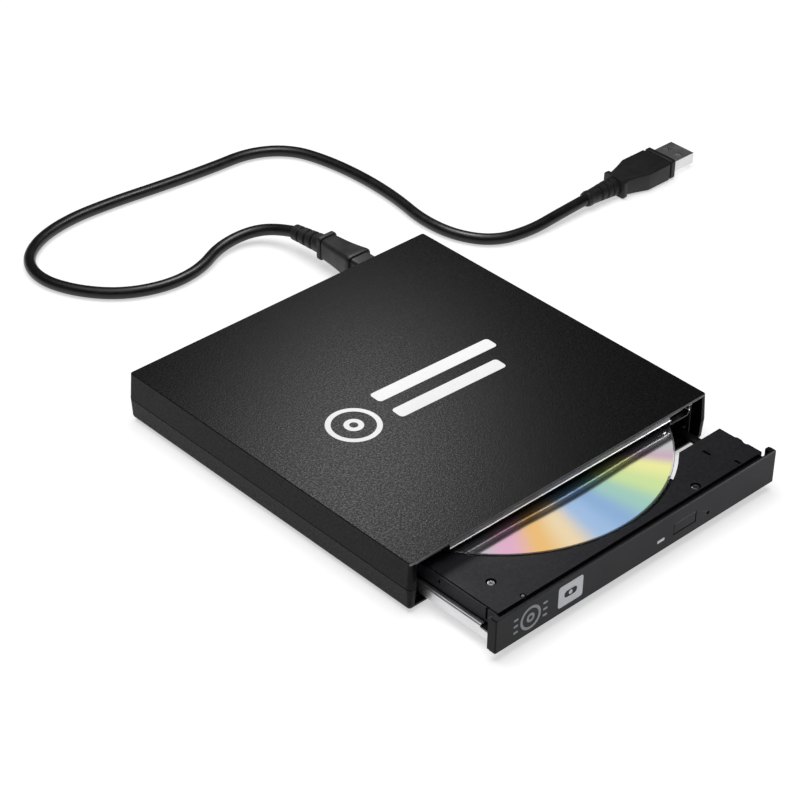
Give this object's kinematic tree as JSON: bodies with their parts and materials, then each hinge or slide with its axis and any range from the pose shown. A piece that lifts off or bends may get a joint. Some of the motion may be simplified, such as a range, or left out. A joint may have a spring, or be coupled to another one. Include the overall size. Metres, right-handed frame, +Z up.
{
  "type": "external optical drive",
  "caption": "Flat square external optical drive with its disc tray partly out, slide rails, eject button, spindle and pickup inside, and a short USB cord at the back.",
  "frame": {"origin": "on the table, under the middle of the drive's box with its tray out as stored, cord and plugs left out", "axes": "+X to the right seen from the tray side, +Y from the tray to the USB socket, +Z up"},
  "size_m": [0.274, 0.2905, 0.0194],
  "materials": {
    "case_plastic": "fine satin texture, charcoal black",
    "tray_plastic": "fine spark-eroded texture, charcoal",
    "bezel_plastic": "satin, charcoal",
    "rubber_black": "matt",
    "sheet_steel": "zinc plated pressed steel",
    "chassis_black": "black-coated pressed steel, satin",
    "bright_steel": "polished",
    "screw_steel": "plated",
    "board_green": "solder mask",
    "chip_black": "moulded epoxy",
    "connector_black": "moulded nylon",
    "guide_white": "natural acetal",
    "flex_amber": "polyimide film",
    "cast_grey": "die-cast, dark grey",
    "disc_mirror": "aluminised polycarbonate with a rainbow sheen",
    "lens_glass": "coated lens",
    "led_clear": "frosted",
    "copper_coil": "enamelled winding",
    "cord_pvc": "smooth black PVC",
    "plug_pvc": "moulded black PVC",
    "insert_white": "moulded insulator"
  },
  "bodies": {
    "housing": {"top_shell": "case_plastic", "bottom_shell": "case_plastic", "rubber_feet": "rubber_black", "enclosure_screws": "screw_steel", "usb_bridge_board": "board_green", "bridge_chip": "chip_black", "bridge_components": "chip_black", "bridge_connector": "connector_black", "usb_socket_shell": "bright_steel", "usb_socket_tongue": "connector_black", "drive_chassis": "chassis_black", "drive_lid": "sheet_steel", "lid_screws": "screw_steel", "main_board": "board_green", "board_spacers": "guide_white", "main_board_chips": "chip_black", "drive_connector": "connector_black", "left_rail_guide": "connector_black", "right_rail_guide": "connector_black", "flex_cable": "flex_amber", "small_plug": "plug_pvc", "small_plug_shell": "bright_steel", "usb_cord": "cord_pvc", "large_plug": "plug_pvc", "large_plug_shell": "bright_steel", "large_plug_insert": "insert_white"},
    "rails": {"left_rail": "bright_steel", "right_rail": "chassis_black"},
    "tray": {"tray": "tray_plastic", "front_bezel": "bezel_plastic", "tray_screws": "screw_steel", "locating_pin": "screw_steel", "tray_cover": "sheet_steel", "right_runner": "chassis_black", "tray_board": "board_green", "eject_switch": "chip_black", "status_led": "led_clear", "led_lens": "led_clear", "latch_solenoid": "copper_coil", "latch_pivot": "screw_steel", "traverse_frame": "cast_grey", "traverse_dampers": "rubber_black", "mechanism_cover": "cast_grey", "spindle_stator": "copper_coil", "guide_rods": "bright_steel", "sled_motor": "screw_steel"},
    "eject_button": {"eject_button": "bezel_plastic"},
    "latch_lever": {"latch_lever": "guide_white"},
    "latch_plunger": {"latch_plunger": "screw_steel"},
    "ejector": {"ejector_pusher": "guide_white", "ejector_spring": "screw_steel"},
    "spindle": {"spindle_rotor": "screw_steel", "hub_jaws": "guide_white", "turntable_ring": "rubber_black", "disc": "disc_mirror"},
    "lead_screw": {"lead_screw": "bright_steel"},
    "sled": {"laser_sled": "cast_grey"},
    "lens": {"lens_holder": "connector_black", "objective_lens": "lens_glass"}
  },
  "joints": [
    {"name": "rails_slide", "type": "slide", "parent": "housing", "child": "rails", "axis": [0, -1, 0], "range_m": [-0.0313, 0.03]},
    {"name": "tray_slide", "type": "slide", "parent": "rails", "child": "tray", "axis": [0, -1, 0], "range_m": [0, 0.066]},
    {"name": "eject_button_press", "type": "slide", "parent": "tray", "child": "eject_button", "axis": [0, 1, 0], "range_m": [0, 0.0006], "stiffness_N_per_m": 600},
    {"name": "latch_lever_turn", "type": "hinge", "parent": "tray", "child": "latch_lever", "pos_m": [0.042, -0.0781, 0.0069], "axis": [0, 0, -1], "range_deg": [0, 12]},
    {"name": "latch_plunger_slide", "type": "slide", "parent": "tray", "child": "latch_plunger", "axis": [1, 0, 0], "range_m": [0, 0.001], "stiffness_N_per_m": 60},
    {"name": "ejector_slide", "type": "slide", "parent": "tray", "child": "ejector", "axis": [0, -1, 0], "range_m": [0, 0.005], "stiffness_N_per_m": 150, "deforming": ["ejector_spring"]},
    {"name": "spindle_spin", "type": "hinge", "parent": "tray", "child": "spindle", "pos_m": [0.0015, -0.0177, 0.009], "axis": [0, 0, 1], "continuous": true},
    {"name": "sled_slide", "type": "slide", "parent": "tray", "child": "sled", "axis": [-0.7071, 0.7071, 0], "range_m": [-0.017, 0.017]},
    {"name": "lead_screw_turn", "type": "hinge", "parent": "tray", "child": "lead_screw", "pos_m": [-0.02155, -0.01247, 0.007], "axis": [-0.7071, 0.7071, 0], "range_deg": [-2050, 2050]},
    {"name": "lens_focus", "type": "slide", "parent": "sled", "child": "lens", "axis": [0, 0, 1], "range_m": [-0.0004, 0.0004], "stiffness_N_per_m": 60}
  ],
  "couplings": [
    {"joint": "latch_lever_turn", "follows": "latch_plunger_slide", "rad_per_m": 209.44},
    {"joint": "lead_screw_turn", "follows": "sled_slide", "rad_per_m": 2094.4}
  ]
}
